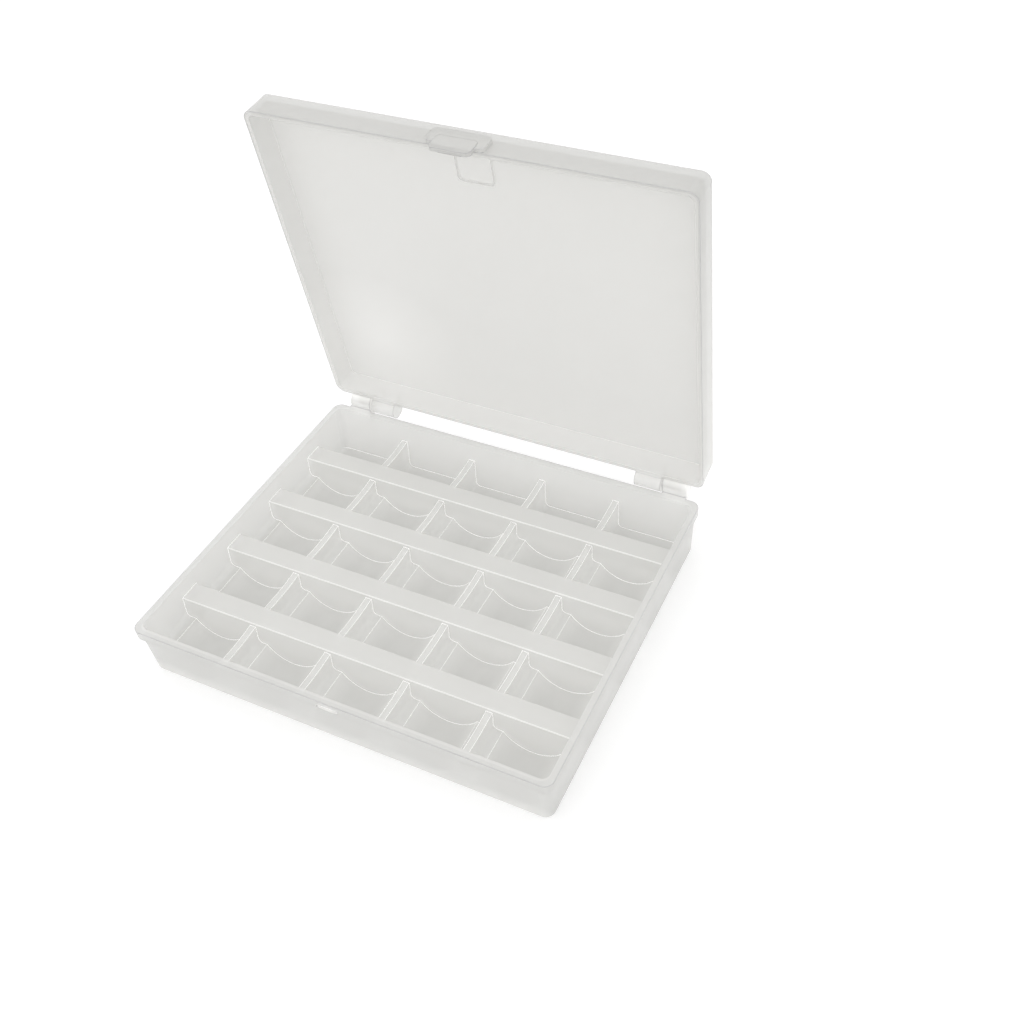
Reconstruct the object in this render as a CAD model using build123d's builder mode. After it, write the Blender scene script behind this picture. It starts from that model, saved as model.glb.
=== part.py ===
from build123d import *
import math
import os

# Storage box for sewing machine reels: a moulded tray of 25 cells under a hinged, snapping lid.
# Millimetres, +Z up. The origin is on the table under the middle of the box, +Y runs back to the hinges.
# The lid is drawn closed, and every plane it is drawn on is swung open about the hinge line.

# Overall sizes, measured over the rims
box_width = 122.0
box_depth = 100.0
base_height = 16.4
lid_height = 8.6
corner_radius = 2.6
rim_gap = 0.1

# Base walls: rim thicknesses, drafts, and the band that runs round the rim
side_wall = 1.75
front_wall = 1.9
back_wall = 2.0
outer_draft = 3.0
side_inner_draft = 1.0
end_inner_draft = 5.0
band_height = 2.8
band_proud = 0.45
inner_corner_radius = 2.0
foot_round = 0.7
room_over_rim = 1.0

# The moulded skin under the shelves and inside the ridges
skin = 1.2

# Ridges across the box, which part the rows
rows = 5
ridge_pitch = 20.38
ridge_width = 6.0
ridge_height = 11.5
ridge_draft = 6.0
ridge_round = 0.35
ridges_middle = 0.85

# Dividers along the box, which part the columns
columns = 5
divider_pitch = 23.86
divider_thickness = 1.7
divider_draft = 1.0
divider_drop = 0.6
divider_scoop = 0.8

# Shelves and the round cradles sunk into them
shelf_height = 5.1
shelf_fillet = 1.5
cradle_radius = 10.6
cradle_floor = 1.1
cradle_foot_sink = 0.25

# Hinge line and how far the lid stands open
hinge_back = 3.1
hinge_above_rim = 1.15
open_angle = 83.3
hinge_inner_end = 40.4
knuckle_length = 8.0
lug_length = 7.2
knuckle_radius = 2.8
knuckle_side_gap = 0.7
pin_radius = 1.25
pin_clearance = 0.06
pin_length = 5.2
pin_end_gap = 0.4
lug_end_round = 0.9
gusset_angle = 30.0
knuckle_rib_width = 1.2
knuckle_rib_inset = 0.65
knuckle_rib_rise = 5.2
knuckle_web_rise = 3.4

# Lid
lid_wall = 1.2
lid_panel = 1.3
lid_draft = 1.0
lid_edge_round = 0.4
lid_inner_radius = 1.8

# Latch on the lid's front wall, and the slot in the base's rim band that it snaps into
pad_width = 16.2
pad_proud = 1.0
pad_foot = 0.1
pad_rise = 5.5
pad_corner_radius = 1.6
tongue_width = 11.2
tongue_thickness = 1.05
tongue_gap = 0.15
tongue_corner_radius = 1.2
lip_width = 6.0
lip_height = 0.6
lip_edge = 0.2
lip_reach = 0.5
lip_clearance = 0.1
keeper_width = 6.6
keeper_height = 0.8
keeper_depth = 0.5
keeper_below_rim = 1.7

# Relief groove on the inside of the panel, behind the latch
groove_span = 10.6
groove_width = 0.5
groove_depth = 0.4
groove_length = 13.7
groove_corner_radius = 1.4


def slope(degrees):
    """Sideways run of a drafted face for each millimetre of its height."""
    return math.tan(math.radians(degrees))


# Places worked out from the sizes above
half_width = box_width / 2
half_depth = box_depth / 2
foot_inset = band_proud + base_height * slope(outer_draft)
ridge_count = rows - 1
ridge_places = [ridges_middle + (i - (ridge_count - 1) / 2) * ridge_pitch for i in range(ridge_count)]
column_places = [(i - (columns - 1) / 2) * divider_pitch for i in range(columns)]
cradle_centre = cradle_floor + cradle_radius
cradle_back_radius = cradle_centre + cradle_foot_sink
divider_top = ridge_height - divider_drop
over_rim = base_height + room_over_rim
hinge_y = half_depth + hinge_back
hinge_z = base_height + hinge_above_rim
lug_start = hinge_inner_end + knuckle_length + knuckle_side_gap
lid_rim = base_height + rim_gap
lid_top = lid_rim + lid_height
panel_inside = lid_top - lid_panel
os.makedirs("parts", exist_ok=True)


def inner_side(height):
    """X of the side wall's inner face at a height."""
    return half_width - side_wall - (base_height - height) * slope(side_inner_draft)


def inner_front(height):
    """Y of the front wall's inner face at a height."""
    return -half_depth + front_wall + (base_height - height) * slope(end_inner_draft)


def inner_back(height):
    """Y of the back wall's inner face at a height."""
    return half_depth - back_wall - (base_height - height) * slope(end_inner_draft)


def inner_outline(height):
    """The rounded rectangle inside the base walls at a height."""
    middle = (inner_front(height) + inner_back(height)) / 2
    length = inner_back(height) - inner_front(height)
    with BuildSketch(Plane.XY.offset(height)) as outline:
        with Locations((0, middle)):
            RectangleRounded(2 * inner_side(height), length, inner_corner_radius)
    return outline.sketch


def hollow_outline(height):
    """The rounded rectangle of the open underside, one skin inside the outer walls."""
    inset = foot_inset - height * slope(outer_draft) + skin
    with BuildSketch(Plane.XY.offset(height)) as outline:
        RectangleRounded(box_width - 2 * inset, box_depth - 2 * inset, inner_corner_radius)
    return outline.sketch


def ridge_bars(top_height, top_width, top_round):
    """Tapered bars along X, one at each ridge, standing on the table."""
    foot_width = top_width + 2 * top_height * slope(ridge_draft)
    with BuildPart() as bars:
        with BuildSketch(Plane.YZ) as sections:
            for place in ridge_places:
                with BuildLine() as section:
                    Polyline(
                        (place - foot_width / 2, 0),
                        (place - top_width / 2, top_height),
                        (place + top_width / 2, top_height),
                        (place + foot_width / 2, 0),
                        close=True,
                    )
                    fillet(section.vertices().group_by(Axis.Y)[-1], top_round)
                make_face()
        extrude(amount=half_width, both=True)
    return bars.part


def column_sections(plane, floor):
    """Cross-sections of the five columns of cells, from their floor to above the rim."""
    wall_top = over_rim
    divider_half = divider_thickness / 2
    divider_flare = (divider_top - floor) * slope(divider_draft)
    with BuildSketch(plane) as sections:
        for index, place in enumerate(column_places):
            left_top = place - divider_pitch / 2 + divider_half
            right_top = place + divider_pitch / 2 - divider_half
            left_foot = left_top + divider_flare
            right_foot = right_top - divider_flare
            if index == 0:
                left_top = -inner_side(wall_top)
                left_foot = -inner_side(floor)
            if index == columns - 1:
                right_top = inner_side(wall_top)
                right_foot = inner_side(floor)
            with BuildLine() as cell:
                Polyline(
                    (left_foot, floor),
                    (left_top, wall_top),
                    (right_top, wall_top),
                    (right_foot, floor),
                    close=True,
                )
                fillet(cell.vertices().group_by(Axis.Y)[0], shelf_fillet)
            make_face()
    return sections.sketch


def cradle_sections(plane, radius):
    """Circles of the cradles sunk into the shelves, one in each column."""
    with BuildSketch(plane) as circles:
        with Locations(*[(place, cradle_centre) for place in column_places]):
            Circle(radius)
    return circles.sketch


# Room above the moulding: the cells, with the ridges and dividers left standing in it
# The rows in front of the last ridge have shelves and cradles, the row behind it a flat floor
last_ridge = ridge_places[-1]
behind_rows = Plane.XZ.offset(-last_ridge)
solid_ridges = ridge_bars(ridge_height, ridge_width, ridge_round)
shelved_columns = column_sections(behind_rows, shelf_height)
flat_columns = column_sections(behind_rows, cradle_floor)
cradle_rounds = cradle_sections(behind_rows, cradle_radius)
cradle_backs = cradle_sections(behind_rows, cradle_back_radius)
with BuildPart() as inside_walls:
    loft([inner_outline(0), inner_outline(over_rim)])
with BuildPart() as tray_room:
    extrude(shelved_columns, amount=last_ridge + half_depth)
    extrude(cradle_rounds, amount=last_ridge + half_depth)
    extrude(flat_columns, amount=last_ridge - half_depth)
    with BuildSketch(Plane.YZ) as over_dividers:
        with BuildLine():
            Polyline(
                (half_depth, divider_top),
                (half_depth, over_rim),
                (-half_depth, over_rim),
                (-half_depth, divider_top),
            )
            row_ends = [-half_depth] + ridge_places + [half_depth]
            for front_end, back_end in zip(row_ends, row_ends[1:]):
                middle = (front_end + back_end) / 2
                scooped = divider_top - divider_scoop
                ThreePointArc((front_end, divider_top), (middle, scooped), (back_end, divider_top))
        make_face()
    extrude(amount=half_width, both=True)
    add(solid_ridges, mode=Mode.SUBTRACT)
    add(inside_walls.part, mode=Mode.INTERSECT)

# Open underside: the space below the shelves, around the cradles, and up inside the ridges
# Behind the last ridge the floor is one flat skin on the table
hollow_bars = ridge_bars(ridge_height - skin, ridge_width - 2 * skin, ridge_round)
with BuildPart() as ridge_hollows:
    loft([hollow_outline(0), hollow_outline(ridge_height - skin)])
    add(hollow_bars, mode=Mode.INTERSECT)
with BuildPart() as under_room:
    loft([hollow_outline(0), hollow_outline(shelf_height - skin)])
    extrude(cradle_backs, amount=last_ridge + half_depth, mode=Mode.SUBTRACT)
    with BuildSketch(behind_rows) as back_row:
        Rectangle(box_width, 2 * shelf_height)
    extrude(amount=last_ridge - half_depth, mode=Mode.SUBTRACT)
    add(ridge_hollows.part)


def hinge_lug(side):
    """Base half of one hinge: a round lug on a gusset, with a blind bore for the lid's pin."""
    wall_middle = half_depth - back_wall / 2
    touch_y = hinge_y + knuckle_radius * math.sin(math.radians(gusset_angle))
    touch_z = hinge_z - knuckle_radius * math.cos(math.radians(gusset_angle))
    gusset_foot = touch_z - (touch_y - wall_middle) * slope(gusset_angle)
    with BuildPart() as lug:
        with BuildSketch(Plane.YZ.offset(side * lug_start)) as section:
            with Locations((hinge_y, hinge_z)):
                Circle(knuckle_radius)
            with BuildLine():
                Polyline(
                    (wall_middle, base_height),
                    (hinge_y, base_height),
                    (hinge_y, hinge_z),
                    (touch_y, touch_z),
                    (wall_middle, gusset_foot),
                    close=True,
                )
            make_face()
        extrude(amount=side * lug_length)
        outer_end = lug.faces().sort_by(Axis.X)[-1 if side > 0 else 0]
        fillet(outer_end.edges().filter_by(GeomType.CIRCLE), lug_end_round)
        with BuildSketch(Plane.YZ.offset(side * lug_start)) as bore:
            with Locations((hinge_y, hinge_z)):
                Circle(pin_radius + pin_clearance)
        extrude(amount=side * (pin_length - knuckle_side_gap + pin_end_gap), mode=Mode.SUBTRACT)
    return lug.part


# Base tray
lugs = [hinge_lug(side) for side in (-1, 1)]
band_foot = base_height - band_height
keeper_top = base_height - keeper_below_rim
with BuildPart() as base_tray:
    with BuildSketch() as foot_outline:
        RectangleRounded(box_width - 2 * foot_inset, box_depth - 2 * foot_inset, corner_radius)
    extrude(amount=base_height, taper=-outer_draft)
    fillet(base_tray.edges().group_by(Axis.Z)[0], foot_round)
    with BuildSketch(Plane.XY.offset(band_foot)) as band_outline:
        RectangleRounded(box_width, box_depth, corner_radius)
    extrude(amount=band_height)
    add(lugs)
    add(tray_room.part, mode=Mode.SUBTRACT)
    add(under_room.part, mode=Mode.SUBTRACT)
    with BuildSketch(Plane.XZ.offset(half_depth)) as keeper:
        with Locations((0, keeper_top - keeper_height / 2)):
            Rectangle(keeper_width, keeper_height)
    extrude(amount=-keeper_depth, mode=Mode.SUBTRACT)
base_tray.part.label = "base_tray"
export_step(base_tray.part, "parts/base_tray.step")

# The lid's planes: drawn closed, swung open about the hinge line
to_hinge = Location((0, hinge_y, hinge_z))
swing = to_hinge * Location((0, 0, 0), (-open_angle, 0, 0)) * to_hinge.inverse()


def lid_level(height):
    """The plane that lies level at a height when the lid is closed."""
    return Plane(swing * Plane.XY.offset(height).location)


def lid_upright(depth):
    """The plane that faces the front at a Y when the lid is closed."""
    return Plane(swing * Plane.XZ.offset(-depth).location)


def lid_section(place):
    """The plane across the hinge line at an X."""
    return Plane(swing * Plane.YZ.offset(place).location)


def hinge_knuckle(side):
    """Lid half of one hinge: a barrel on a web with two ribs, and the pin that turns in the lug."""
    wall_middle = half_depth - lid_wall / 2
    with BuildPart() as knuckle:
        with BuildSketch(lid_section(side * hinge_inner_end)) as barrel:
            with Locations((hinge_y, hinge_z)):
                Circle(knuckle_radius)
            with BuildLine():
                Polyline(
                    (wall_middle, lid_rim),
                    (hinge_y, lid_rim),
                    (hinge_y, lid_rim + knuckle_web_rise),
                    (wall_middle, lid_rim + knuckle_web_rise),
                    close=True,
                )
            make_face()
        extrude(amount=side * knuckle_length)
        for inset in (knuckle_rib_inset, knuckle_length - knuckle_rib_inset - knuckle_rib_width):
            with BuildSketch(lid_section(side * (hinge_inner_end + inset))) as rib:
                with BuildLine():
                    Polyline(
                        (wall_middle, lid_rim),
                        (hinge_y, lid_rim),
                        (hinge_y, hinge_z + knuckle_radius),
                        (half_depth, lid_rim + knuckle_rib_rise),
                        (wall_middle, lid_rim + knuckle_rib_rise),
                        close=True,
                    )
                make_face()
            extrude(amount=side * knuckle_rib_width)
        with BuildSketch(lid_section(side * (hinge_inner_end + knuckle_length))) as pin:
            with Locations((hinge_y, hinge_z)):
                Circle(pin_radius)
        extrude(amount=side * pin_length)
    return knuckle.part


# Lid
knuckles = [hinge_knuckle(side) for side in (-1, 1)]
tongue_inside = -half_depth - tongue_gap
lip_top = keeper_top - lip_clearance
tongue_foot = lip_top - lip_height
pad_middle = lid_rim + pad_foot + pad_rise / 2
with BuildPart() as lid:
    with BuildSketch(lid_level(lid_rim)) as rim_outline:
        RectangleRounded(box_width, box_depth, corner_radius)
    extrude(amount=lid_height, taper=lid_draft)
    top_edges = lid.faces().filter_by(lid_level(lid_top)).sort_by(Axis.Y)[-1].edges()
    fillet(top_edges, lid_edge_round)
    add(knuckles)
    with BuildSketch(lid_upright(-half_depth + lid_wall / 2)) as pad:
        with Locations((0, pad_middle)):
            RectangleRounded(pad_width, pad_rise, pad_corner_radius)
    extrude(amount=lid_wall / 2 + pad_proud)
    with BuildSketch(lid_upright(tongue_inside)) as tongue:
        with Locations((0, (tongue_foot + pad_middle) / 2)):
            RectangleRounded(tongue_width, pad_middle - tongue_foot, tongue_corner_radius)
    extrude(amount=tongue_thickness)
    with BuildSketch(lid_section(-lip_width / 2)) as lip:
        with BuildLine():
            Polyline(
                (tongue_inside - tongue_thickness / 2, lip_top),
                (tongue_inside + lip_reach, lip_top),
                (tongue_inside + lip_reach, lip_top - lip_edge),
                (tongue_inside, tongue_foot),
                (tongue_inside - tongue_thickness / 2, tongue_foot),
                close=True,
            )
        make_face()
    extrude(amount=lip_width)
    with BuildSketch(lid_level(lid_rim)) as inside_outline:
        RectangleRounded(box_width - 2 * lid_wall, box_depth - 2 * lid_wall, lid_inner_radius)
    extrude(amount=lid_height - lid_panel, taper=lid_draft, mode=Mode.SUBTRACT)
    groove_back = -half_depth + lid_wall + groove_length
    with BuildSketch(lid_level(panel_inside)) as groove:
        with Locations((0, groove_back - groove_length)):
            RectangleRounded(groove_span, 2 * groove_length, groove_corner_radius)
            inner_width = groove_span - 2 * groove_width
            inner_length = 2 * (groove_length - groove_width)
            RectangleRounded(inner_width, inner_length, groove_corner_radius, mode=Mode.SUBTRACT)
        with Locations((0, -half_depth)):
            Rectangle(box_width, 2 * lid_wall, mode=Mode.SUBTRACT)
        with Locations((0, -half_depth - groove_length / 2)):
            Rectangle(box_width, groove_length, mode=Mode.SUBTRACT)
    extrude(amount=groove_depth, mode=Mode.SUBTRACT)
lid.part.label = "lid"
export_step(lid.part, "parts/lid.step")
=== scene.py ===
import bpy
import math
from mathutils import Matrix, Vector

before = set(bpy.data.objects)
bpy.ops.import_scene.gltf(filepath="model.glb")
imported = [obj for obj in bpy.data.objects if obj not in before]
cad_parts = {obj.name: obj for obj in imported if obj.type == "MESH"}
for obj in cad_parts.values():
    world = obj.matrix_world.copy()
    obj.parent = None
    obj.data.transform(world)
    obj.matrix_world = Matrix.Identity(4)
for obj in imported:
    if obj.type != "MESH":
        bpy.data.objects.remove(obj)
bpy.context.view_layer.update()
print("frame loaded:", sorted(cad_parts))

scene = bpy.context.scene
scene.view_settings.view_transform = "Standard"

# Camera: turned, tilted and rolled in degrees as the photograph was taken, distances in metres
cameraView = {
    "turn": 27.42,
    "tilt": 43.31,
    "roll": -3.87,
    "distance": 0.36427,
    "target": (0.0129, 0.06028, 0.0),
    "focalPixels": 1167.92,
    "centrePixel": (564.62, 479.08),
    "picturePixels": 1024,
    "sensor": 36.0,  # millimetres
    "nearest": 0.01,
    "farthest": 20.0,
}


def makeCamera(view):
    turn, tilt, roll = (math.radians(view[key]) for key in ("turn", "tilt", "roll"))
    level = math.cos(tilt)
    back = Vector((math.sin(turn) * level, -math.cos(turn) * level, math.sin(tilt)))
    right = Vector((math.cos(turn), math.sin(turn), 0.0))
    up = back.cross(right)
    across = math.cos(roll) * right + math.sin(roll) * up
    upright = -math.sin(roll) * right + math.cos(roll) * up
    data = bpy.data.cameras.new("boxCamera")
    picture = view["picturePixels"]
    data.sensor_width = view["sensor"]
    data.lens = view["focalPixels"] / picture * view["sensor"]
    data.shift_x = (picture / 2 - view["centrePixel"][0]) / picture
    data.shift_y = (view["centrePixel"][1] - picture / 2) / picture
    data.clip_start = view["nearest"]
    data.clip_end = view["farthest"]
    camera = bpy.data.objects.new("boxCamera", data)
    rotation = Matrix((across, upright, back)).transposed().to_4x4()
    place = Vector(view["target"]) + back * view["distance"]
    camera.matrix_world = Matrix.Translation(place) @ rotation
    scene.collection.objects.link(camera)
    scene.camera = camera


makeCamera(cameraView)
print("camera placed")


# Short ways to add nodes and join them: a socket is linked, any other value is set
def setSocket(tree, socket, value):
    if isinstance(value, bpy.types.NodeSocket):
        tree.links.new(value, socket)
    else:
        socket.default_value = value


def addNode(tree, kind, inputs=None, **settings):
    node = tree.nodes.new(kind)
    for name, value in settings.items():
        setattr(node, name, value)
    for name, value in (inputs or {}).items():
        setSocket(tree, node.inputs[name], value)
    return node


def calculate(tree, operation, *values):
    inputs = dict(enumerate(values))
    return addNode(tree, "ShaderNodeMath", inputs, operation=operation).outputs[0]


def calculateVector(tree, operation, *vectors):
    inputs = dict(enumerate(vectors))
    return addNode(tree, "ShaderNodeVectorMath", inputs, operation=operation).outputs


def splitVector(tree, vector):
    return addNode(tree, "ShaderNodeSeparateXYZ", {0: vector}).outputs


def mapRange(tree, value, fromMin, fromMax, toMin=0.0, toMax=1.0, easing="LINEAR"):
    limits = {"From Min": fromMin, "From Max": fromMax, "To Min": toMin, "To Max": toMax}
    inputs = {"Value": value, **limits}
    return addNode(tree, "ShaderNodeMapRange", inputs, interpolation_type=easing).outputs[0]


mixSockets = {"factor": 0, "first": 6, "second": 7, "mixed": 2}  # where Mix keeps its colours


def mixColors(tree, factor, first, second, blend="MIX"):
    inputs = {mixSockets["factor"]: factor}
    node = addNode(tree, "ShaderNodeMix", inputs, data_type="RGBA", blend_type=blend)
    for key, color in (("first", first), ("second", second)):
        value = color if isinstance(color, bpy.types.NodeSocket) else (*color, 1.0)
        setSocket(tree, node.inputs[mixSockets[key]], value)
    return node.outputs[mixSockets["mixed"]]


def seenDirectly(tree):
    path = addNode(tree, "ShaderNodeLightPath").outputs
    cameraOrGlossy = calculate(tree, "MAXIMUM", path["Is Camera Ray"], path["Is Glossy Ray"])
    return calculate(tree, "MAXIMUM", cameraOrGlossy, path["Is Transmission Ray"])


# Light: an even white room, one soft lamp above and one in front
studioLight = {
    "roomColor": (1.0, 1.0, 1.0),
    "roomStrength": 0.96,
    "roomSeen": 1.0,  # white, where a ray from the camera or a gloss meets the room
    "aimAt": (0.0, 0.0, 0.03),
    "lamps": [
        {"name": "topLamp", "place": (-0.25, 0.1, 0.9), "size": 0.9, "watts": 0.6},
        {"name": "frontLamp", "place": (0.4, -0.95, 0.6), "size": 0.8, "watts": 0.4},
    ],
}


def makeLight(light):
    world = bpy.data.worlds.new("whiteRoom")
    world.use_nodes = True
    tree = world.node_tree
    seen = seenDirectly(tree)
    strength = mapRange(tree, seen, 0.0, 1.0, light["roomStrength"], light["roomSeen"])
    background = tree.nodes["Background"]
    background.inputs["Color"].default_value = (*light["roomColor"], 1.0)
    tree.links.new(strength, background.inputs["Strength"])
    scene.world = world
    for lamp in light["lamps"]:
        data = bpy.data.lights.new(lamp["name"], "AREA")
        data.shape = "DISK"
        data.size = lamp["size"]
        data.energy = lamp["watts"]
        holder = bpy.data.objects.new(lamp["name"], data)
        holder.location = lamp["place"]
        aim = Vector(light["aimAt"]) - Vector(lamp["place"])
        holder.rotation_euler = aim.to_track_quat("-Z", "Y").to_euler()
        scene.collection.objects.link(holder)


makeLight(studioLight)
print("light set")

# Floor: a plain white table top that keeps the shadow of the box
tableTop = {
    "size": 6.0,
    "below": 0.00005,
    "color": (0.9, 0.9, 0.9),
    "roughness": 0.9,
    "shine": 0.0,
    "glow": 0.2,
    "glowColor": (1.0, 1.0, 1.0),
}


def makeFloor(table):
    bpy.ops.mesh.primitive_plane_add(size=table["size"], location=(0, 0, -table["below"]))
    floor = bpy.context.object
    floor.name = "tableTop"
    material = bpy.data.materials.new("paleTable")
    material.use_nodes = True
    tree = material.node_tree
    glow = mapRange(tree, seenDirectly(tree), 0.0, 1.0, 0.0, table["glow"])
    shader = tree.nodes["Principled BSDF"]
    shader.inputs["Base Color"].default_value = (*table["color"], 1.0)
    shader.inputs["Roughness"].default_value = table["roughness"]
    shader.inputs["Specular IOR Level"].default_value = table["shine"]
    shader.inputs["Emission Color"].default_value = (*table["glowColor"], 1.0)
    tree.links.new(glow, shader.inputs["Emission Strength"])
    floor.data.materials.append(material)


makeFloor(tableTop)
print("floor laid")


# Node groups that both plastics share
def newGroup(name, inputs, outputs):
    group = bpy.data.node_groups.new(name, "ShaderNodeTree")
    for label, kind, value in inputs:
        socket = group.interface.new_socket(label, in_out="INPUT", socket_type=kind)
        if value is not None:
            socket.default_value = value
    for label, kind in outputs:
        group.interface.new_socket(label, in_out="OUTPUT", socket_type=kind)
    given = group.nodes.new("NodeGroupInput").outputs
    result = group.nodes.new("NodeGroupOutput").inputs
    return group, given, result


def placeGroup(tree, group, inputs):
    node = tree.nodes.new("ShaderNodeGroup")
    node.node_tree = group
    for name, value in inputs.items():
        setSocket(tree, node.inputs[name], value)
    return node.outputs


# Line along each moulded edge: where the surface bends within the width of the line; the
# plastics paint it as a highlight inside and as shade on the outer skin
edgeLine = {"width": 0.0004, "leastBend": 0.01, "fullBend": 0.12, "samples": 6}


def makeEdgeGroup(line):
    group, given, result = newGroup(
        "mouldedEdge",
        [
            ("Width", "NodeSocketFloat", line["width"]),
            ("Low", "NodeSocketFloat", line["leastBend"]),
            ("High", "NodeSocketFloat", line["fullBend"]),
        ],
        [("Mask", "NodeSocketFloat"), ("Normal", "NodeSocketVector")],
    )
    radius = {"Radius": given["Width"]}
    rounded = addNode(group, "ShaderNodeBevel", radius, samples=line["samples"]).outputs[0]
    flat = addNode(group, "ShaderNodeNewGeometry").outputs["True Normal"]
    likeness = calculateVector(group, "DOT_PRODUCT", rounded, flat)["Value"]
    bend = calculate(group, "SUBTRACT", 1.0, likeness)
    mask = mapRange(group, bend, given["Low"], given["High"], easing="SMOOTHSTEP")
    group.links.new(mask, result["Mask"])
    group.links.new(rounded, result["Normal"])
    return group


mouldedEdge = makeEdgeGroup(edgeLine)

# Outer skin: all that lies outside a core with round corners, seen from above
skinEdge = {"corner": 0.0022, "fade": 0.0003}


def makeSkinGroup(skin):
    group, given, result = newGroup(
        "outerSkin",
        [
            ("Place", "NodeSocketVector", None),
            ("Core", "NodeSocketVector", None),
            ("Corner", "NodeSocketFloat", skin["corner"]),
            ("Fade", "NodeSocketFloat", skin["fade"]),
        ],
        [("Mask", "NodeSocketFloat")],
    )
    size = calculateVector(group, "ABSOLUTE", given["Place"])[0]
    past = calculateVector(group, "SUBTRACT", size, given["Core"])[0]
    kept = calculateVector(group, "MAXIMUM", past, (0.0, 0.0, 0.0))[0]
    away = calculateVector(group, "LENGTH", kept)["Value"]
    far = calculate(group, "ADD", given["Corner"], given["Fade"])
    mask = mapRange(group, away, given["Corner"], far, easing="SMOOTHSTEP")
    group.links.new(mask, result["Mask"])
    return group


outerSkin = makeSkinGroup(skinEdge)

# Frost: slow flow marks in the plastic, a fine grain, and patches rubbed smoother
frostGrain = {
    "flow": {"Scale": 28.0, "Detail": 2.0, "Distortion": 0.6},
    "grain": {"Scale": 1400.0, "Detail": 3.0},
    "grainDepth": 0.00002,
    "rubbed": {"Scale": 160.0, "Detail": 4.0, "Roughness": 0.7},
    "rubbedRange": (0.35, 0.65),
    "smooth": 0.3,
    "rough": 0.42,
}


def makeFrostGroup(frost):
    group, given, result = newGroup(
        "mouldedFrost",
        [
            ("Place", "NodeSocketVector", None),
            ("Normal", "NodeSocketVector", None),
            ("Flow Size", "NodeSocketFloat", frost["flow"]["Scale"]),
            ("Grain Size", "NodeSocketFloat", frost["grain"]["Scale"]),
            ("Grain Depth", "NodeSocketFloat", frost["grainDepth"]),
            ("Smooth", "NodeSocketFloat", frost["smooth"]),
            ("Rough", "NodeSocketFloat", frost["rough"]),
        ],
        [
            ("Tone", "NodeSocketFloat"),
            ("Roughness", "NodeSocketFloat"),
            ("Normal", "NodeSocketVector"),
        ],
    )

    def noise(look, **linked):
        return addNode(group, "ShaderNodeTexNoise", {**look, **linked}).outputs[0]

    place = given["Place"]
    flow = noise(frost["flow"], Vector=place, Scale=given["Flow Size"])
    grain = noise(frost["grain"], Vector=place, Scale=given["Grain Size"])
    height = {"Height": grain, "Distance": given["Grain Depth"], "Normal": given["Normal"]}
    relief = addNode(group, "ShaderNodeBump", height).outputs[0]
    rubbed = noise(frost["rubbed"], Vector=place)
    worn = mapRange(group, rubbed, *frost["rubbedRange"], given["Smooth"], given["Rough"])
    group.links.new(flow, result["Tone"])
    group.links.new(worn, result["Roughness"])
    group.links.new(relief, result["Normal"])
    return group


mouldedFrost = makeFrostGroup(frostGrain)

# Shade at the foot of each ridge and the light line along its brow
ridgeRows = {
    "middle": 0.00085,
    "pitch": 0.02038,
    "halfFoot": 0.0036,
    "reach": 0.016,
    "shadeHeights": (0.002, 0.006),
    "top": 0.0115,
    "round": 0.0005,
    "frontLean": (-0.1, -0.3),
    "upwardLean": (0.15, 0.3),
    "browLight": 0.5,
}


def makeRidgeGroup(rows):
    group, given, result = newGroup(
        "ridgeShade",
        [
            ("Place", "NodeSocketVector", None),
            ("Reach", "NodeSocketFloat", rows["reach"]),
        ],
        [("Shade", "NodeSocketFloat"), ("Brow", "NodeSocketFloat")],
    )
    parts = splitVector(group, given["Place"])
    start = rows["middle"] + rows["pitch"] / 2 + rows["halfFoot"]
    along = calculate(group, "SUBTRACT", parts["Y"], start)
    behind = calculate(group, "FLOORED_MODULO", along, rows["pitch"])
    near = mapRange(group, behind, 0.0, given["Reach"], 1.0, 0.0)
    low = mapRange(group, parts["Z"], *rows["shadeHeights"], 1.0, 0.0)
    paintedShading = calculate(group, "MULTIPLY", near, low)
    group.links.new(paintedShading, result["Shade"])
    faced = addNode(group, "ShaderNodeNewGeometry").outputs["True Normal"]
    leaning = splitVector(group, faced)
    front = mapRange(group, leaning["Y"], *rows["frontLean"])
    upward = mapRange(group, leaning["Z"], *rows["upwardLean"])
    browStart, browFull = rows["top"] - rows["round"], rows["top"] - rows["round"] / 2
    brow = mapRange(group, parts["Z"], browStart, browFull, 0.0, rows["browLight"])
    under = calculate(group, "LESS_THAN", parts["Z"], rows["top"] + rows["round"])
    for limit in (front, upward, under):
        brow = calculate(group, "MULTIPLY", brow, limit)
    group.links.new(brow, result["Brow"])
    return group


ridgeShade = makeRidgeGroup(ridgeRows)
print("shared effects built")

# Frosted see-through plastic: what both mouldings have in common
mouldedPlastic = {
    "hingeLine": (0.0, 0.0531, 0.01755),
    "hingeStart": (0.0506, 0.0516),  # painted light on the hinge comes in over this depth
    "halfDepth": 0.05,
    "lowCell": (0.002, 0.007),  # between these heights the floor's glow turns into the top's
    "levelStart": (0.6, 0.95),  # how far a face looks up before it counts as level
    "flowTint": 0.03,  # how much darker the flow marks get
    "glowColor": (1.0, 1.0, 0.98),
    "noGlow": (0.0, 0.0, 0.0),
    "coreHeight": 1.0,  # far over the box, so that height never counts as skin
    "ior": 1.49,
}

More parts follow.
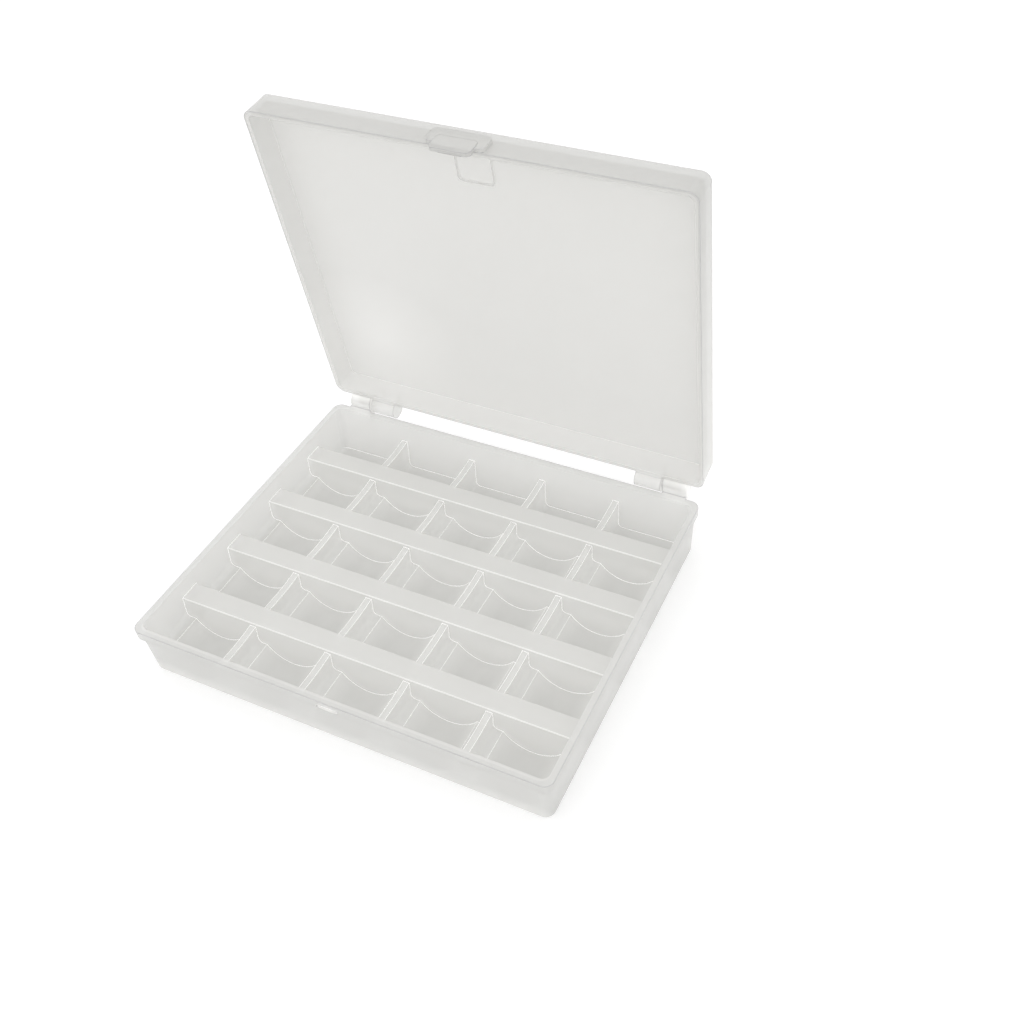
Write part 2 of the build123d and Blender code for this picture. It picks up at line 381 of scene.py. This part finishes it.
trayLook = {
    # Painted light and shade: the one plastic is given darker and lighter tones inside,
    # outside, front and back
    "innerFront": (0.685, 0.681, 0.662),
    "innerBack": (0.7, 0.697, 0.679),
    "outerFront": (0.765, 0.762, 0.744),
    "outerBack": (0.82, 0.817, 0.8),
    # Painted light: the colour of the lit hinge and of the glint at the keeper slot
    "light": (0.97, 0.967, 0.95),
    # Painted shade on the floor behind each ridge
    "paintedShading": (0.52, 0.515, 0.496),
    # Painted highlight along the edges inside
    "innerEdge": (1.0, 1.0, 0.99),
    # Painted shade along the top and foot of the outer skin
    "outerEdge": (0.55, 0.55, 0.57),
    "cover": 0.56,  # how much of the light the plastic stops
    "edgeCover": 0.85,
    "edgeGlow": 0.45,
    "topGlow": 0.31,
    "floorGlow": 0.29,
    "sideGlow": 0.4,
    "outline": (0.0593, 0.0487),  # half width and half depth where the skin begins
    "middle": 0.0095,  # no line on the skin within "plain" of this height
    "plain": 0.006,
    "brightBelow": 0.0122,  # painted highlight lines inside are drawn below this height
    "open": 0.0,
    # Where the painted glint at the keeper slot lies
    "keeperSlot": {
        "place": (0.0, -0.04975, 0.0143),
        "stretch": (1.0, 4.0, 5.0),
        "core": 0.0034,
        "size": 0.0038,
    },
}

# The lid's pattern is laid out as if it were shut
lidLook = {
    # Painted light and shade: the one plastic is given darker and lighter tones inside,
    # outside, front and back
    "innerFront": (0.825, 0.82, 0.795),
    "innerBack": (0.88, 0.875, 0.855),
    "outerFront": (0.68, 0.676, 0.658),
    "outerBack": (0.92, 0.915, 0.89),
    # Painted light on the hinge
    "light": (0.95, 0.947, 0.93),
    # Painted light patch on the lid panel, standing in for a soft lamp's reflection
    "paintedShading": (0.96, 0.955, 0.935),
    # Painted highlight along the edges inside
    "innerEdge": (0.9, 0.9, 0.88),
    # Painted shade along the top and foot of the outer skin
    "outerEdge": (0.6, 0.6, 0.61),
    "cover": 0.58,
    "edgeCover": 0.8,
    "edgeGlow": 0.08,
    "topGlow": 0.0,
    "floorGlow": 0.0,
    "sideGlow": 0.0,
    "outline": (0.0603, 0.0493),
    "middle": 0.0208,
    "plain": 0.0036,
    "brightBelow": 1.0,
    "open": 83.3,  # degrees
    # Where the painted light patch lies on the lid panel
    "paintedLightSpot": {
        "place": (-0.042, 0.03, 0.0237),
        "stretch": (1.0, 1.0, 1.0),
        "core": 0.0,
        "size": 0.026,
    },
}


def shutPlace(tree, openAngle):
    angle = math.radians(openAngle)
    hinge = Vector(mouldedPlastic["hingeLine"])
    shift = hinge - Matrix.Rotation(angle, 3, "X") @ hinge
    place = addNode(tree, "ShaderNodeTexCoord").outputs["Object"]
    inputs = {"Vector": place, "Location": shift, "Rotation": (angle, 0.0, 0.0)}
    return addNode(tree, "ShaderNodeMapping", inputs).outputs[0]


def spotMask(tree, place, mark):
    away = calculateVector(tree, "SUBTRACT", place, mark["place"])[0]
    stretched = calculateVector(tree, "MULTIPLY", away, mark["stretch"])[0]
    reach = calculateVector(tree, "LENGTH", stretched)["Value"]
    return mapRange(tree, reach, mark["core"], mark["size"], 1.0, 0.0)


# Each piece's own marks: painted shade behind the ridges, painted highlight on the brow and
# painted glint at the keeper slot in the tray; painted light patch on the lid
def trayMarks(tree, place, look):
    marks = placeGroup(tree, ridgeShade, {"Place": place})
    return marks["Shade"], marks["Brow"], spotMask(tree, place, look["keeperSlot"])


def lidMarks(tree, place, look):
    return spotMask(tree, place, look["paintedLightSpot"]), 0.0, 0.0


def makePlastic(name, look, marks):
    material = bpy.data.materials.new(name)
    material.use_nodes = True
    tree = material.node_tree
    shader = tree.nodes["Principled BSDF"]
    both = mouldedPlastic
    place = shutPlace(tree, look["open"])
    parts = splitVector(tree, place)
    edge = placeGroup(tree, mouldedEdge, {"Width": edgeLine["width"]})
    side, end = look["outline"]
    corner = skinEdge["corner"]
    core = (side - corner, end - corner, both["coreHeight"])
    skin = placeGroup(tree, outerSkin, {"Place": place, "Core": core, "Corner": corner})["Mask"]
    frost = placeGroup(tree, mouldedFrost, {"Place": place, "Normal": edge["Normal"]})
    paintedShading, brow, slotGlint = marks(tree, place, look)

    # Body colour: inside and outside, from front to back, with the one plastic given lighter
    # and darker tones as painted light and shade
    toBack = mapRange(tree, parts["Y"], -both["halfDepth"], both["halfDepth"])
    inner = mixColors(tree, toBack, look["innerFront"], look["innerBack"])
    outer = mixColors(tree, toBack, look["outerFront"], look["outerBack"])
    # Painted light on the hinge and at the keeper slot's glint
    hinge = mapRange(tree, parts["Y"], *both["hingeStart"])
    light = calculate(tree, "MAXIMUM", hinge, slotGlint)
    # Painted shade behind the ridges in the tray and the painted light patch on the lid
    body = mixColors(tree, skin, mixColors(tree, paintedShading, inner, look["paintedShading"]), outer)
    body = mixColors(tree, light, body, look["light"])

    # Painted lines along the edges: painted highlights inside, painted grey shade at the top
    # and foot of the skin
    deep = calculate(tree, "LESS_THAN", parts["Z"], look["brightBelow"])
    fromMiddle = calculate(tree, "SUBTRACT", parts["Z"], look["middle"])
    distance = calculate(tree, "ABSOLUTE", fromMiddle)
    atEnds = calculate(tree, "GREATER_THAN", distance, look["plain"])
    within = calculate(tree, "SUBTRACT", 1.0, skin)
    line = calculate(tree, "MAXIMUM", edge["Mask"], brow)
    drawn = calculate(tree, "MULTIPLY", calculate(tree, "MULTIPLY", line, deep), within)
    onSkin = calculate(tree, "MULTIPLY", edge["Mask"], skin)
    outlined = calculate(tree, "MULTIPLY", onSkin, atEnds)
    withPaintedLines = mixColors(tree, drawn, body, look["innerEdge"])
    withPaintedLines = mixColors(tree, outlined, withPaintedLines, look["outerEdge"])
    tint = mapRange(tree, frost["Tone"], 0.0, 1.0, 1.0 - both["flowTint"], 1.0)
    tinted = mixColors(tree, 1.0, withPaintedLines, tint, "MULTIPLY")
    tree.links.new(tinted, shader.inputs["Base Color"])

    solid = calculate(tree, "MAXIMUM", drawn, outlined)
    cover = mapRange(tree, solid, 0.0, 1.0, look["cover"], look["edgeCover"])
    tree.links.new(cover, shader.inputs["Alpha"])
    tree.links.new(frost["Roughness"], shader.inputs["Roughness"])
    tree.links.new(frost["Normal"], shader.inputs["Normal"])

    # Painted glow, standing in for light that the plastic scatters: full in the painted lines,
    # part of it inside and on the hinge
    levelGlow = mapRange(tree, parts["Z"], *both["lowCell"], look["floorGlow"], look["topGlow"])
    faced = addNode(tree, "ShaderNodeNewGeometry").outputs["True Normal"]
    level = mapRange(tree, splitVector(tree, faced)["Z"], *both["levelStart"])
    bodyGlow = mapRange(tree, level, 0.0, 1.0, look["sideGlow"], levelGlow)
    litPlace = calculate(tree, "MAXIMUM", within, light)
    litBody = calculate(tree, "MULTIPLY", bodyGlow, litPlace)
    glow = calculate(tree, "MAXIMUM", litBody, drawn)
    glowing = mixColors(tree, glow, both["noGlow"], both["glowColor"])
    tree.links.new(glowing, shader.inputs["Emission Color"])
    shader.inputs["Emission Strength"].default_value = look["edgeGlow"]
    shader.inputs["IOR"].default_value = both["ior"]
    return material


trayPlastic = makePlastic("trayPlastic", trayLook, trayMarks)
lidPlastic = makePlastic("lidPlastic", lidLook, lidMarks)
for nodeName, material in (("base_tray", trayPlastic), ("lid", lidPlastic)):
    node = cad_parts[nodeName]
    node.data.materials.clear()
    node.data.materials.append(material)
print("plastic applied")
